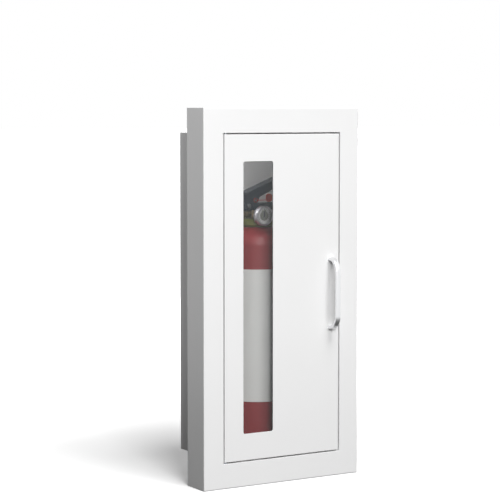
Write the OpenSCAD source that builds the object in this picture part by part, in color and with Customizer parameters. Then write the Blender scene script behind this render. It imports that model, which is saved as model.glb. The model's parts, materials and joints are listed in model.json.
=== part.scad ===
// Semi-recessed fire extinguisher cabinet, with the extinguisher that stands in it.
// Millimetres. +Z is up and the door faces -Y. The origin is the centre of the tub's back
// face. The tub goes into the wall, and the trim frame stands proud of the wall round it.

/* [Trim frame] */
// Depth of the trim frame, from its face back to the wall
trim_depth = 64; // [45:1:80]
// Width of the trim's face beside the door
trim_face_side = 42; // [34:1:55]
// Width of the trim's face above and below the door
trim_face_end = 47; // [34:1:58]
// Thickness of the trim's sheet steel
trim_sheet = 1.5; // [1:0.1:2.2]
// Outside radius of the bend between the trim's face and its returns
trim_bend = 2; // [1.6:0.1:4]
// Width of the lip that is turned in against the wall
wall_lip = 10; // [6:1:16]
// How far the stop flange reaches into the door opening
stop_reach = 9; // [8:0.5:12]
// Space between the closed door and the stop flange
stop_gap = 6.5; // [5:0.5:10]

/* [Tub] */
// Space between the cylinder and the tub's side walls
side_room = 58.8; // [50:0.1:90]
// Space between the lever and the top of the tub
head_room = 74.6; // [40:0.1:150]
// Space between the cylinder and the back of the tub
back_room = 11.8; // [8:0.1:30]
// Space between the cylinder and the mouth of the tub
front_room = 7; // [5:0.5:40]
// Thickness of the tub's sheet steel
tub_sheet = 1.2; // [0.8:0.1:2]
// How much narrower the tub is than the opening, on each side
tub_side_inset = 4.5; // [2:0.5:7]
// How much lower the tub is than the opening, above and below
tub_end_inset = 0.5; // [0.5:0.5:6]
// Width of the flange turned out round the tub's mouth
tub_flange = 6; // [6:0.5:9]
// Radius of the screw holes in the back and the sides
tub_hole_r = 3.5; // [2:0.25:5]
// Distance of the back's screw holes from its side edges
back_hole_side = 35; // [15:1:70]
// Distance of the back's screw holes from its ends
back_hole_end = 48; // [15:1:120]
// Distance of the side walls' screw holes from their ends
side_hole_end = 78; // [15:1:150]
// Distance of the side walls' screw holes from the back face
side_hole_y = 75; // [40:5:110]

/* [Door] */
// Gap round the closed door
door_gap = 2.5; // [2.3:0.1:3.2]
// Depth of the door pan
door_depth = 16; // [16:0.5:22]
// Thickness of the door's sheet steel
door_sheet = 1.2; // [0.9:0.1:1.6]
// Outside radius of the bend round the door's face
door_bend = 1.5; // [1.3:0.1:2.5]
// Width of the lip turned in round the back of the pan
door_lip = 22; // [18:1:28]
// Distance of the pivot axis from the door's hinge edge and from its face
pivot_inset = 4; // [3.5:0.1:4.2]

/* [Window] */
// Width of the window
window_w = 65; // [50:1:90]
// Distance from the door's hinge edge to the window
window_side_margin = 40.5; // [36:0.5:60]
// Distance from the door's top and bottom edges to the window
window_end_margin = 50.5; // [36:0.5:120]
// Corner radius of the window
window_r = 4; // [2:0.5:10]
// How far the pane reaches past the window on each side
pane_reach = 10; // [6:1:12]
// Thickness of the pane
pane_t = 3; // [2:0.5:5]
// Thickness of the rubber between the pane and the door's skin
gasket_t = 1; // [0.6:0.2:1.6]
// Width of the rubber beside the pane's edge
gasket_side = 2; // [1:0.5:3]
// Thickness of the retainer frame
retainer_t = 1.2; // [0.8:0.1:2]
// Width of the retainer outside the rubber, which holds the studs
retainer_reach = 9; // [8:0.5:11]
// Number of studs up each side of the window
stud_rows = 4; // [2:1:6]

/* [Pull handle] */
// Overall height of the handle
handle_h = 138; // [110:1:180]
// How far the handle stands out from the door's face
handle_out = 29; // [28:1:45]
// Width of the handle's bar
handle_w = 11; // [8:0.5:16]
// Thickness of the handle's bar
handle_t = 6.5; // [5:0.5:9]
// Radius of the bar's rounded edges
handle_edge = 2; // [1:0.25:2.4]
// Outside radius of the handle's two bends
handle_bend = 26; // [18:1:27]
// Distance from the handle's middle to the door's closing edge
handle_margin = 19; // [16:1:30]

/* [Extinguisher] */
// Diameter of the cylinder
shell_d = 130; // [110:1:150]
// Height of the cylinder's straight side
shell_side_h = 400; // [330:1:500]
// Height of the dome above the straight side
dome_h = 34; // [31:1:40]
// Radius of the knuckle between the straight side and the dome's crown
knuckle_r = 26; // [18:1:28]
// Diameter of the flat top of the dome
dome_top_d = 54; // [44:1:60]
// Radius of the cylinder's bottom edge
shell_foot_r = 8; // [4:0.5:14]
// Height of the ring that the cylinder stands on
foot_h = 9; // [6:0.5:14]
// Height of the label above the floor
label_up = 101.8; // [60:0.1:120]
// Distance of the label below the top of the straight side
label_down = 44.7; // [20:0.1:90]
// Thickness of the label
label_t = 0.4; // [0.2:0.1:0.8]
// Thickness of the glue under the label
label_glue = 0.1; // [0.1:0.05:0.2]
// Part of the way round that the label covers, in degrees
label_wrap = 250; // [180:5:320]
// Diameter of the plastic collar round the neck
collar_d = 66; // [50:1:80]
// Height of the collar
collar_h = 15; // [8:0.5:16]
// Diameter of the pressure gauge
gauge_d = 38; // [30:0.5:40]
// Depth of the pressure gauge
gauge_depth = 12; // [10:0.5:14]
// Slope of the lever, in degrees
lever_slope = 21.4; // [18:0.1:25]
// Height of the lever's tip above the cylinder's neck
lever_rise = 105; // [95:1:115]
// Width over the lever's cheeks
lever_w = 28; // [26:0.5:32]
// Thickness of the lever's and the carry handle's sheet
lever_sheet = 2; // [1.5:0.1:2.2]
// Reach of the lever and the carry handle past the cylinder's axis
grip_reach = 92; // [84:1:110]

/* [Hidden] */
$fn = 64;
// Clearance that lets a fixed bolt or rivet through its hole
hole_slack = 0.1;
// Running clearance of a pin in its bore, on the radius
run_slack = 0.08;
// Clearance between pieces that pass or face each other without touching
pass_slack = 0.3;
// Overshoot of a cut past the face that it opens
cut = 1;

// Planes and sizes of the cabinet, which is built round the extinguisher
tub_in_w = shell_d + 2 * side_room;
tub_in_h = shell_side_h + dome_h + lever_rise + head_room;
tub_depth = tub_sheet + back_room + shell_d + front_room;
tub_w = tub_in_w + 2 * tub_sheet;
tub_h = tub_in_h + 2 * tub_sheet;
opening_w = tub_w + 2 * tub_side_inset;
opening_h = tub_h + 2 * tub_end_inset;
trim_w = opening_w + 2 * trim_face_side;
trim_h = opening_h + 2 * trim_face_end;
door_w = opening_w - 2 * door_gap;
door_h = opening_h - 2 * door_gap;
jamb_depth = door_depth + stop_gap + trim_sheet;
y_mouth = -tub_depth;
y_front = y_mouth - jamb_depth;
y_stop = y_mouth - trim_sheet;
y_wall = y_front + trim_depth;
y_door_back = y_front + door_depth;
y_skin_back = y_front + door_sheet;
mitre_reach = 1.3;
back_hole_x = tub_w / 2 - back_hole_side;
back_hole_z = tub_h / 2 - back_hole_end;
side_hole_z = tub_h / 2 - side_hole_end;

// Pivots of the door: a pin on a plate behind the jamb, a washer and a block in the pan
x_pivot = -door_w / 2 + pivot_inset;
y_pivot = y_front + pivot_inset;
pivot_r = 2;
pivot_grip = 11;
pivot_plate_w = 26;
pivot_plate_t = 3;
pivot_plate_h = 17;
block_w = 14;
block_d = 11.5;
block_h = 15;
washer_r = 3.6;

// Window and what holds the pane
window_h = door_h - 2 * window_end_margin;
window_x = -door_w / 2 + window_side_margin + window_w / 2;
pane_w = window_w + 2 * pane_reach;
pane_h = window_h + 2 * pane_reach;
gasket_lap = 1;
y_pane = y_skin_back + gasket_t;
y_pane_back = y_pane + pane_t;
stud_r = 1.5;
stud_shoulder_r = 3;
stud_end = 4.5;
nut_r = 3.2;
nut_h = 2.4;
stud_x = pane_w / 2 + gasket_side + retainer_reach / 2;
stud_z = pane_h / 2 + gasket_side + retainer_reach / 2;

// Catch, strike and bumpers
strike_w = 8;
catch_x = door_w / 2 - door_lip + strike_w / 2;
catch_gap = 17;
catch_sheet = 2;
catch_half_h = 18;
catch_back = 24;
catch_front_gap = 2;
catch_left = catch_x - catch_gap / 2 - catch_sheet;
catch_w = tub_in_w / 2 - catch_left;
roller_r = 6;
roller_pin_r = 2;
roller_gap = 0.5;
roller_in = 7;
bumper_end = 76;
strike_t = 3;
strike_base_w = 16;
strike_base_h = 24;
strike_base_t = 1.5;
strike_reach = 26;
roller_z = roller_r + strike_t / 2 + roller_gap;
bumper_r = 4;
bumper_z = door_h / 2 - bumper_end;

// Handle
handle_x = door_w / 2 - handle_margin;
handle_line_r = handle_bend - handle_t / 2;
screw_r = 2;
screw_head_r = 4;
screw_head_h = 2.6;
screw_in = 9;

// Extinguisher, in its own frame: on its axis, heights from the neck upwards
shell_r = shell_d / 2;
floor_z = -tub_in_h / 2;
y_axis = -(tub_sheet + back_room + shell_r);
neck_z = floor_z + shell_side_h + dome_h;
label_h = shell_side_h - label_up - label_down;
foot_w = 6;
neck_r = 14;
collar_edge = 2;
valve_half_y = lever_w / 2 - 2 * lever_sheet - 2 * pass_slack;
valve_x0 = -16;
valve_x1 = 14;
valve_z0 = 16;
valve_z1 = 43;
valve_edge = 2.5;
lug_x = -33;
lug_z0 = 35;
lug_w = 20;
lug_h = 12;
lug_round = 5.5;
stem_r = 3;
gauge_x = -9;
gauge_z = 22.3;
gauge_back = collar_d / 2 + 1;
gauge_boss_r = 5.2;
gauge_nut_r = 7;
gauge_nut_h = 6;
gauge_rim = 2.6;
gauge_edge = 1.8;
dial_deep = 3;
dial_t = 0.6;
lens_t = 1.2;
lens_in = 0.4;
port_z = 25;
port_r = 8.5;
port_end = -46;
port_nut_r = 9.6;
port_nut_w = 9;
rivet_x = -25;
rivet_z = 40.5;
rivet_r = 3;
rivet_head_r = 4.2;
rivet_head_t = 1.6;
pin_x = -12;
pin_z = 51;
pin_r = 1.8;
pin_ring_r = 11;
pin_wire_r = 1.2;
pin_out = 4;
carry_left = lug_x - 7;
carry_low = lug_z0 - 3;
carry_right = pin_x + 6;
carry_top = pin_z + 7;
carry_web = valve_z1 + lever_sheet;
carry_tip = 9;
carry_swell = 62;
lever_left = -45;
lever_low = 34;
lever_flat = 65;
lever_break = -30.5;
lever_knee = lever_break + (lever_rise - lever_flat) / tan(lever_slope);
lever_deep = 18;
lever_tip = 11;
lever_swell = 26;
cheek_right = -2;
cheek_top = 57;
stem_top = lever_top(-stem_r) - lever_sheet - pass_slack;
seal_t = 1.4;
seal_in = 0.5;
seal_strap = 2.4;
seal_tag_x = 18;
seal_tag_up = 4;
seal_tag_w = 14;
seal_tag_h = 16;

// A block centred on the Y axis, between two depths
module block_y(w, h, y0, y1) {
    translate([-w / 2, y0, -h / 2]) cube([w, y1 - y0, h]);
}

// A rectangle with its two corners at y = 0 rounded
module front_rounded(w, d, r) {
    translate([-w / 2, r]) square([w, d - r]);
    translate([-w / 2 + r, 0]) square([w - 2 * r, d]);
    for (s = [-1, 1]) translate([s * (w / 2 - r), r]) circle(r);
}

// A block whose front face is bent over with radius r on all four sides
module bent_block(w, h, d, r) {
    intersection() {
        linear_extrude(h, center = true) front_rounded(w, d, r);
        rotate([0, 90, 0]) linear_extrude(w, center = true) front_rounded(h, d, r);
    }
}

// A rectangle with four rounded corners
module rounded_rect(w, h, r) {
    square([w - 2 * r, h], center = true);
    square([w, h - 2 * r], center = true);
    for (x = [-1, 1], y = [-1, 1]) translate([x * (w / 2 - r), y * (h / 2 - r)]) circle(r);
}

// An outline drawn in X and Z, given its thickness between two depths
module plate_y(y0, y1) {
    translate([0, y1, 0]) rotate([90, 0, 0]) linear_extrude(y1 - y0) children();
}

// A rod along Y between two depths
module rod_y(r, x, z, y0, y1) {
    translate([x, y0, z]) rotate([-90, 0, 0]) cylinder(r = r, h = y1 - y0);
}

// A rod along X between two places
module rod_x(r, x0, x1, y, z) {
    translate([x0, y, z]) rotate([0, 90, 0]) cylinder(r = r, h = x1 - x0);
}

// The tub: a back and four walls, whose front edges turn out into a flange

module tub_back() {
    color("white") difference() {
        block_y(tub_w, tub_h, -tub_sheet, 0);
        for (x = [-1, 1], z = [-1, 1])
            rod_y(tub_hole_r, x * back_hole_x, z * back_hole_z, -tub_sheet - cut, cut);
    }
}

module tub_side_wall() {
    color("white") translate([tub_in_w / 2, 0, 0]) difference() {
        translate([0, y_mouth, -tub_h / 2]) {
            cube([tub_sheet, tub_depth - tub_sheet, tub_h]);
            cube([tub_sheet + tub_flange, tub_sheet, tub_h]);
        }
        for (z = [-1, 1])
            rod_x(tub_hole_r, -cut, tub_sheet + cut, -side_hole_y, z * side_hole_z);
    }
}

module tub_left_wall() mirror([1, 0, 0]) tub_side_wall();

module tub_right_wall() tub_side_wall();

module tub_end_wall() {
    color("white") translate([-tub_in_w / 2, y_mouth, tub_in_h / 2]) {
        cube([tub_in_w, tub_depth - tub_sheet, tub_sheet]);
        cube([tub_in_w, tub_sheet, tub_sheet + tub_flange]);
    }
}

module tub_top_wall() tub_end_wall();

module tub_bottom_wall() mirror([0, 0, 1]) tub_end_wall();

// The trim frame: face, returns, wall lip, jamb and stop flange, mitred at its corners

module trim_section() {
    difference() {
        translate([0, y_front, 0]) bent_block(trim_w, trim_h, trim_depth, trim_bend);
        block_y(opening_w, opening_h, y_front - cut, y_stop);
        block_y(opening_w - 2 * stop_reach, opening_h - 2 * stop_reach, y_front - cut, cut);
        difference() {
            block_y(trim_w - 2 * trim_sheet, trim_h - 2 * trim_sheet,
                    y_front + trim_sheet, y_wall - trim_sheet);
            block_y(opening_w + 2 * trim_sheet, opening_h + 2 * trim_sheet,
                    y_front - cut, y_mouth);
        }
        block_y(trim_w - 2 * wall_lip, trim_h - 2 * wall_lip, y_mouth, y_wall + cut);
        for (z = [-1, 1])
            translate([x_pivot, y_pivot, z * (opening_h + trim_sheet) / 2])
                cylinder(r = pivot_r + hole_slack, h = trim_sheet + 2 * cut, center = true);
    }
}

// The mitre at one corner of the frame: at 45 degrees through the bends, then in a straight
// line through the corner of the opening
function mitre_line(sx, sz) =
    let (bends = trim_bend + trim_sheet,
         knee = [trim_w / 2 - bends, trim_h / 2 - bends],
         inner = knee + mitre_reach * ([opening_w / 2, opening_h / 2] - knee))
    [for (p = [knee + [2, 2] * bends, knee, inner]) [sx * p[0], sz * p[1]]];

// The stretch of the frame between two of its mitres
module trim_member(corner_a, corner_b) {
    a = mitre_line(corner_a[0], corner_a[1]);
    b = mitre_line(corner_b[0], corner_b[1]);
    color("white") intersection() {
        trim_section();
        plate_y(y_front - cut, y_wall + cut) polygon([a[0], a[1], a[2], b[2], b[1], b[0]]);
    }
}

module trim_top() trim_member([-1, 1], [1, 1]);

module trim_bottom() trim_member([-1, -1], [1, -1]);

module trim_left() trim_member([-1, 1], [-1, -1]);

module trim_right() trim_member([1, 1], [1, -1]);

// Door pivots: a plate welded behind the jamb carries a pin that turns in the door's block

module pivot_plate_top() {
    color("silver") {
        translate([x_pivot - pivot_inset, y_front + trim_sheet, opening_h / 2 + trim_sheet])
            cube([pivot_plate_w, pivot_plate_h, pivot_plate_t]);
        translate([x_pivot, y_pivot, opening_h / 2 - door_gap - pivot_grip])
            cylinder(r = pivot_r, h = pivot_grip + door_gap + trim_sheet + pivot_plate_t);
    }
}

module pivot_plate_bottom() mirror([0, 0, 1]) pivot_plate_top();

module thrust_washer() {
    color("silver") translate([x_pivot, y_pivot, -opening_h / 2]) difference() {
        cylinder(r = washer_r, h = door_gap - pass_slack);
        translate([0, 0, -cut]) cylinder(r = pivot_r + hole_slack, h = door_gap + 2 * cut);
    }
}

module pivot_block_top() {
    color("silver") difference() {
        translate([-door_w / 2 + door_sheet, y_skin_back, door_h / 2 - door_sheet - block_h])
            cube([block_w, block_d, block_h]);
        translate([x_pivot, y_pivot, door_h / 2 - pivot_grip - cut])
            cylinder(r = pivot_r + run_slack, h = pivot_grip + 2 * cut);
    }
}

module pivot_block_bottom() mirror([0, 0, 1]) pivot_block_top();

// Catch: two rollers in a channel on the tub's right wall grip the strike's blade

module roller_catch() {
    color("silver") difference() {
        translate([catch_left, y_mouth + catch_front_gap, -catch_half_h])
            cube([catch_w, catch_back, 2 * catch_half_h]);
        translate([catch_left + catch_sheet, y_mouth + catch_front_gap - cut, -catch_half_h - cut])
            cube([catch_w - 2 * catch_sheet, catch_back - catch_sheet + cut,
                  2 * (catch_half_h + cut)]);
        for (z = [-1, 1])
            rod_x(roller_pin_r + hole_slack, catch_left - cut, tub_in_w / 2 - catch_sheet,
                  y_mouth + catch_front_gap + roller_in, z * roller_z);
    }
}

module catch_rollers() {
    color("gray") for (z = [-1, 1]) {
        rod_x(roller_r, catch_left + catch_sheet + pass_slack,
              tub_in_w / 2 - catch_sheet - pass_slack,
              y_mouth + catch_front_gap + roller_in, z * roller_z);
        rod_x(roller_pin_r, catch_left, tub_in_w / 2 - catch_sheet,
              y_mouth + catch_front_gap + roller_in, z * roller_z);
    }
}

module catch_strike() {
    color("silver") translate([door_w / 2 - door_lip, y_door_back, 0]) {
        translate([0, 0, -strike_base_h / 2]) cube([strike_base_w, strike_base_t, strike_base_h]);
        translate([0, 0, -strike_t / 2]) cube([strike_w, strike_reach, strike_t]);
    }
}

module door_bumpers() {
    color("dimgray") for (z = [-1, 1])
        rod_y(bumper_r, opening_w / 2 - stop_reach / 2, z * bumper_z,
              y_door_back + pass_slack, y_stop);
}

// The door: a pan with its edges turned back and in, and a tall window

module door_panel() {
    color("white") difference() {
        translate([0, y_front, 0]) bent_block(door_w, door_h, door_depth, door_bend);
        block_y(door_w - 2 * door_sheet, door_h - 2 * door_sheet,
                y_skin_back, y_door_back - door_sheet);
        block_y(door_w - 2 * door_lip, door_h - 2 * door_lip, y_skin_back, y_door_back + cut);
        plate_y(y_front - cut, y_skin_back + cut) translate([window_x, 0])
            rounded_rect(window_w, window_h, window_r);
        for (z = [-1, 1]) {
            translate([x_pivot, y_pivot, z * (door_h - door_sheet) / 2])
                cylinder(r = pivot_r + pass_slack, h = door_sheet + 2 * cut, center = true);
            rod_y(screw_r + hole_slack, handle_x, z * (handle_h - handle_t) / 2,
                  y_front - cut, y_skin_back + cut);
        }
    }
}

module glazing_gasket() {
    color("dimgray") difference() {
        plate_y(y_skin_back, y_pane_back) translate([window_x, 0])
            rounded_rect(pane_w + 2 * gasket_side, pane_h + 2 * gasket_side, window_r);
        plate_y(y_skin_back - cut, y_pane_back + cut) translate([window_x, 0])
            rounded_rect(window_w + 2 * gasket_lap, window_h + 2 * gasket_lap, window_r);
        translate([window_x, 0, 0]) block_y(pane_w, pane_h, y_pane, y_pane_back + cut);
    }
}

module window_pane() {
    color([0.85, 0.92, 0.9, 0.35]) translate([window_x, 0, 0])
        block_y(pane_w, pane_h, y_pane, y_pane_back);
}

module glazing_retainer() {
    color("silver") difference() {
        plate_y(y_pane_back, y_pane_back + retainer_t) translate([window_x, 0])
            rounded_rect(pane_w + 2 * gasket_side + 2 * retainer_reach,
                         pane_h + 2 * gasket_side + 2 * retainer_reach, window_r);
        plate_y(y_pane_back - cut, y_pane_back + retainer_t + cut) translate([window_x, 0])
            rounded_rect(window_w + 4 * gasket_lap, window_h + 4 * gasket_lap, window_r);
        at_studs() rod_y(stud_r + hole_slack, 0, 0, y_pane_back - cut,
                         y_pane_back + retainer_t + cut);
    }
}

module at_studs() {
    for (x = [-1, 1], i = [0 : stud_rows - 1])
        translate([window_x + x * stud_x, 0, -stud_z + 2 * stud_z * i / (stud_rows - 1)])
            children();
}

// A stud on the skin's back, with a shoulder that carries the retainer and a nut that holds it
module retainer_studs() {
    color("silver") at_studs() {
        rod_y(stud_shoulder_r, 0, 0, y_skin_back, y_pane_back);
        rod_y(stud_r, 0, 0, y_skin_back, y_pane_back + retainer_t + stud_end);
        translate([0, y_pane_back + retainer_t, 0]) rotate([-90, 0, 0])
            cylinder(r = nut_r, h = nut_h, $fn = 6);
    }
}

// The pull: a flat bar bent to a D, screwed on through the door's skin

module handle_section() {
    rounded_rect(handle_w, handle_t, handle_edge);
}

module handle_half() {
    translate([0, y_front - handle_out + handle_t / 2, 0])
        linear_extrude(handle_h / 2 - handle_bend) handle_section();
    translate([0, y_front - handle_out + handle_bend, handle_h / 2 - handle_bend])
        rotate([90, 0, -90]) rotate_extrude(angle = 90)
            translate([handle_line_r, 0]) rotate(90) handle_section();
    translate([0, y_front, handle_h / 2 - handle_t / 2]) rotate([90, 0, 0])
        linear_extrude(handle_out - handle_bend) handle_section();
}

module pull_handle() {
    color("silver") difference() {
        translate([handle_x, 0, 0]) {
            handle_half();
            mirror([0, 0, 1]) handle_half();
        }
        for (z = [-1, 1])
            rod_y(screw_r + hole_slack, handle_x, z * (handle_h - handle_t) / 2,
                  y_front - screw_in + door_sheet, y_front + cut);
    }
}

module handle_screws() {
    color("silver") for (z = [-1, 1]) {
        rod_y(screw_head_r, handle_x, z * (handle_h - handle_t) / 2,
              y_skin_back, y_skin_back + screw_head_h);
        rod_y(screw_r, handle_x, z * (handle_h - handle_t) / 2,
              y_skin_back - screw_in, y_skin_back + cut);
    }
}

// The extinguisher's cylinder, foot, label and collar

module on_axis(z) {
    translate([0, y_axis, z]) children();
}

// Points along an arc, from one angle to another
function arc(x, z, r, from, to, steps) =
    [for (i = [0 : steps]) let (a = from + (to - from) * i / steps) [x + r * cos(a), z + r * sin(a)]];

// Points of a rounded corner at p, between the neighbours a and b. The arc touches both edges,
// and its centre lies on the line that halves the corner.
function rounded_corner(a, p, b, r, steps) =
    let (u = (a - p) / norm(a - p), v = (b - p) / norm(b - p),
         half = acos(u * v) / 2,
         turn = 180 - 2 * half,
         centre = p + (u + v) / norm(u + v) * r / sin(half),
         from = p + u * r / tan(half) - centre,
         to = p + v * r / tan(half) - centre)
    [for (i = [0 : steps])
        centre + (from * sin(turn * (1 - i / steps)) + to * sin(turn * i / steps)) / sin(turn)];

// An outline with rounded corners, each given as [x, z, radius]
function rounded_outline(corners, steps = 5) =
    let (n = len(corners), at = [for (c = corners) [c[0], c[1]]])
    [for (i = [0 : n - 1])
        each rounded_corner(at[(i + n - 1) % n], at[i], at[(i + 1) % n], corners[i][2], steps)];

// Half of the cylinder's outline: a rounded foot, the side, and a dome of two arcs that meet
// smoothly. The knuckle arc leaves the side upright. The crown arc has its centre on the axis,
// crown_drop below the top of the side, and ends at the edge of the flat top.
module shell_outline() {
    run = shell_r - knuckle_r;
    top_r = dome_top_d / 2;
    k = top_r * top_r + dome_h * dome_h - run * run - knuckle_r * knuckle_r;
    qa = dome_h * dome_h / (knuckle_r * knuckle_r) - 1;
    qb = k * dome_h / (knuckle_r * knuckle_r);
    qc = k * k / (4 * knuckle_r * knuckle_r) - run * run;
    crown_drop = (-qb + sqrt(qb * qb - 4 * qa * qc)) / (2 * qa);
    crown_r = norm([run, crown_drop]) + knuckle_r;
    meet = atan2(crown_drop, run);
    polygon(concat([[0, foot_h]],
                   arc(shell_r - shell_foot_r, foot_h + shell_foot_r, shell_foot_r, -90, 0, 8),
                   arc(run, shell_side_h, knuckle_r, 0, meet, 10),
                   arc(0, shell_side_h - crown_drop, crown_r, meet, acos(top_r / crown_r), 6),
                   [[0, shell_side_h + dome_h]]));
}

module extinguisher_shell() {
    color("firebrick") on_axis(floor_z) rotate_extrude() shell_outline();
}

module foot_ring() {
    color("firebrick") on_axis(floor_z) difference() {
        cylinder(r = shell_r - shell_foot_r, h = foot_h);
        translate([0, 0, -cut])
            cylinder(r = shell_r - shell_foot_r - foot_w, h = foot_h + 2 * cut);
    }
}

module label_band() {
    color("lightgray") on_axis(floor_z + label_up) rotate(-90 - label_wrap / 2)
        rotate_extrude(angle = label_wrap) translate([shell_r + label_glue, 0])
            square([label_t, label_h]);
}

module neck_collar() {
    color("olivedrab") on_axis(neck_z) rotate_extrude()
        polygon(rounded_outline([[neck_r + pass_slack, 0, collar_edge / 2],
                                 [collar_d / 2, 0, collar_edge],
                                 [collar_d / 2, collar_h, collar_edge],
                                 [neck_r + pass_slack, collar_h, collar_edge / 2]]));
}

// The valve: a turned neck with a shoulder, a forged block, the gauge's boss, the lug that the
// lever and the handle pivot on, and the stem that the lever presses

module valve_body() {
    color("darkkhaki") on_axis(neck_z) difference() {
        union() {
            cylinder(r = neck_r, h = valve_z0 + cut);
            translate([0, 0, valve_z0 + cut])
                cylinder(r1 = neck_r, r2 = valve_half_y, h = neck_r - valve_half_y);
            translate([(valve_x0 + valve_x1) / 2, 0, valve_z0]) linear_extrude(valve_z1 - valve_z0)
                rounded_rect(valve_x1 - valve_x0, 2 * valve_half_y, valve_edge);
            rod_y(gauge_boss_r, gauge_x, gauge_z, gauge_nut_h - gauge_back, 0);
            plate_y(-valve_half_y, valve_half_y) translate([lug_x, lug_z0])
                polygon(rounded_outline([[0, 0, lug_round], [0, lug_h, lug_round],
                                         [lug_w, lug_h, valve_edge], [lug_w, 0, valve_edge]]));
            translate([0, 0, valve_z1 - cut]) cylinder(r = stem_r, h = stem_top - valve_z1 + cut);
        }
        rod_y(rivet_r + hole_slack, rivet_x, rivet_z, -lever_w, lever_w);
    }
}

module outlet_port() {
    color("darkkhaki") on_axis(neck_z) difference() {
        union() {
            rod_x(port_r, port_end, valve_x0, 0, port_z);
            translate([valve_x0 - port_nut_w, 0, port_z]) rotate([0, 90, 0])
                cylinder(r = port_nut_r, h = port_nut_w, $fn = 6);
        }
        rod_x(port_r / 2, port_end - cut, valve_x0 - port_nut_w, 0, port_z);
    }
}

// The carry handle: two cheeks at the pivot, and a channel, open downwards, for the grip

module carry_outline() {
    polygon(rounded_outline([[carry_left, carry_low, 5], [carry_left, carry_top, 5],
                             [carry_right, carry_top, 5], [carry_right, carry_web, 3],
                             [grip_reach, carry_web, 3], [grip_reach, carry_web - carry_tip, 4],
                             [carry_swell, carry_low, 30]]));
}

module carry_handle() {
    out = lever_w / 2 - lever_sheet - pass_slack;
    inside = 2 * (out - lever_sheet);
    color([0.16, 0.16, 0.18]) on_axis(neck_z) difference() {
        plate_y(-out, out) carry_outline();
        translate([carry_left - cut, -inside / 2, 0])
            cube([grip_reach - carry_left + 2 * cut, inside, valve_z1]);
        translate([carry_left - cut, -inside / 2, valve_z1 - cut])
            cube([carry_right - carry_left + cut, inside, carry_top]);
        translate([0, 0, valve_z1 - cut])
            cylinder(r = stem_r + pass_slack, h = lever_sheet + 2 * cut);
        rod_y(rivet_r + hole_slack, rivet_x, rivet_z, -lever_w, lever_w);
        rod_y(pin_r + hole_slack, pin_x, pin_z, -lever_w, lever_w);
    }
}

// The lever: a channel, closed at its pivot end, that slopes up over the carry handle

function lever_top(x) = lever_flat + (x - lever_break) * tan(lever_slope);

module lever_outline() {
    polygon(rounded_outline([[lever_left, lever_low, 3], [lever_left, lever_flat, 3],
                             [lever_break, lever_flat, 12], [lever_knee, lever_rise, 20],
                             [grip_reach, lever_rise, 4], [grip_reach, lever_rise - lever_tip, 4],
                             [lever_knee, lever_rise - lever_deep, 20],
                             [lever_swell, lever_top(lever_swell) - lever_deep, 25],
                             [cheek_right, cheek_top, 8], [cheek_right - 6, lever_low, 4]]));
}

module lever_inside() {
    polygon([[lever_left + lever_sheet, lever_low - cut],
             [lever_left + lever_sheet, lever_flat - lever_sheet],
             [lever_break, lever_flat - lever_sheet],
             [lever_knee, lever_rise - lever_sheet],
             [grip_reach + cut, lever_rise - lever_sheet], [grip_reach + cut, lever_low - cut]]);
}

module lever() {
    color([0.16, 0.16, 0.18]) on_axis(neck_z) difference() {
        plate_y(-lever_w / 2, lever_w / 2) lever_outline();
        plate_y(-lever_w / 2 + lever_sheet, lever_w / 2 - lever_sheet) lever_inside();
        rod_y(rivet_r + hole_slack, rivet_x, rivet_z, -lever_w, lever_w);
        rod_y(pin_r + hole_slack, pin_x, pin_z, -lever_w, lever_w);
    }
}

module lever_rivet() {
    color("silver") on_axis(neck_z) {
        rod_y(rivet_r, rivet_x, rivet_z, -lever_w / 2 - cut, lever_w / 2 + cut);
        for (s = [-1, 1])
            translate([rivet_x, s * (lever_w / 2 + rivet_head_t / 2), rivet_z])
                rotate([90, 0, 0]) cylinder(r = rivet_head_r, h = rivet_head_t, center = true);
    }
}

module pull_pin() {
    color("silver") on_axis(neck_z) {
        rod_y(pin_r, pin_x, pin_z, -lever_w / 2 - pin_out, lever_w / 2 + pin_out);
        translate([pin_x, lever_w / 2 + pin_out, pin_z - pin_ring_r]) rotate([0, 90, 0])
            rotate([90, 0, 0]) rotate_extrude() translate([pin_ring_r, 0]) circle(pin_wire_r);
    }
}

// The seal: a loop round the pin's end, a strap and a tag
module tamper_seal() {
    seal_y = -lever_w / 2 - pin_out + seal_in;
    color("firebrick") on_axis(neck_z) plate_y(seal_y, seal_y + seal_t) difference() {
        union() {
            translate([pin_x, pin_z]) circle(pin_r + seal_strap);
            translate([pin_x, pin_z - seal_strap / 2]) square([seal_tag_x - pin_x, seal_strap]);
            translate([seal_tag_x, pin_z + seal_tag_up])
                rounded_rect(seal_tag_w, seal_tag_h, seal_strap);
        }
        translate([pin_x, pin_z]) circle(pin_r + hole_slack);
    }
}

// The pressure gauge on the front of the valve: a turned case with a hexagon behind it

module on_gauge(out) {
    on_axis(neck_z) translate([gauge_x, -gauge_back - out, gauge_z]) rotate([90, 0, 0]) children();
}

module gauge_case() {
    bore = gauge_d / 2 - gauge_rim;
    color("gainsboro") {
        on_gauge(0) rotate_extrude()
            polygon(concat([[0, 0]],
                           arc(gauge_d / 2 - gauge_edge, gauge_edge, gauge_edge, -90, 0, 4),
                           arc(gauge_d / 2 - gauge_edge, gauge_depth - gauge_edge, gauge_edge,
                               0, 90, 5),
                           [[bore, gauge_depth], [bore, gauge_depth - dial_deep],
                            [0, gauge_depth - dial_deep]]));
        on_gauge(-gauge_nut_h) cylinder(r = gauge_nut_r, h = gauge_nut_h, $fn = 6);
    }
}

module gauge_dial() {
    color("whitesmoke") on_gauge(gauge_depth - dial_deep)
        cylinder(r = gauge_d / 2 - gauge_rim - pass_slack, h = dial_t);
}

module gauge_lens() {
    color([0.9, 0.95, 1, 0.3]) on_gauge(gauge_depth - lens_in - lens_t)
        cylinder(r = gauge_d / 2 - gauge_rim - run_slack, h = lens_t);
}

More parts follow.
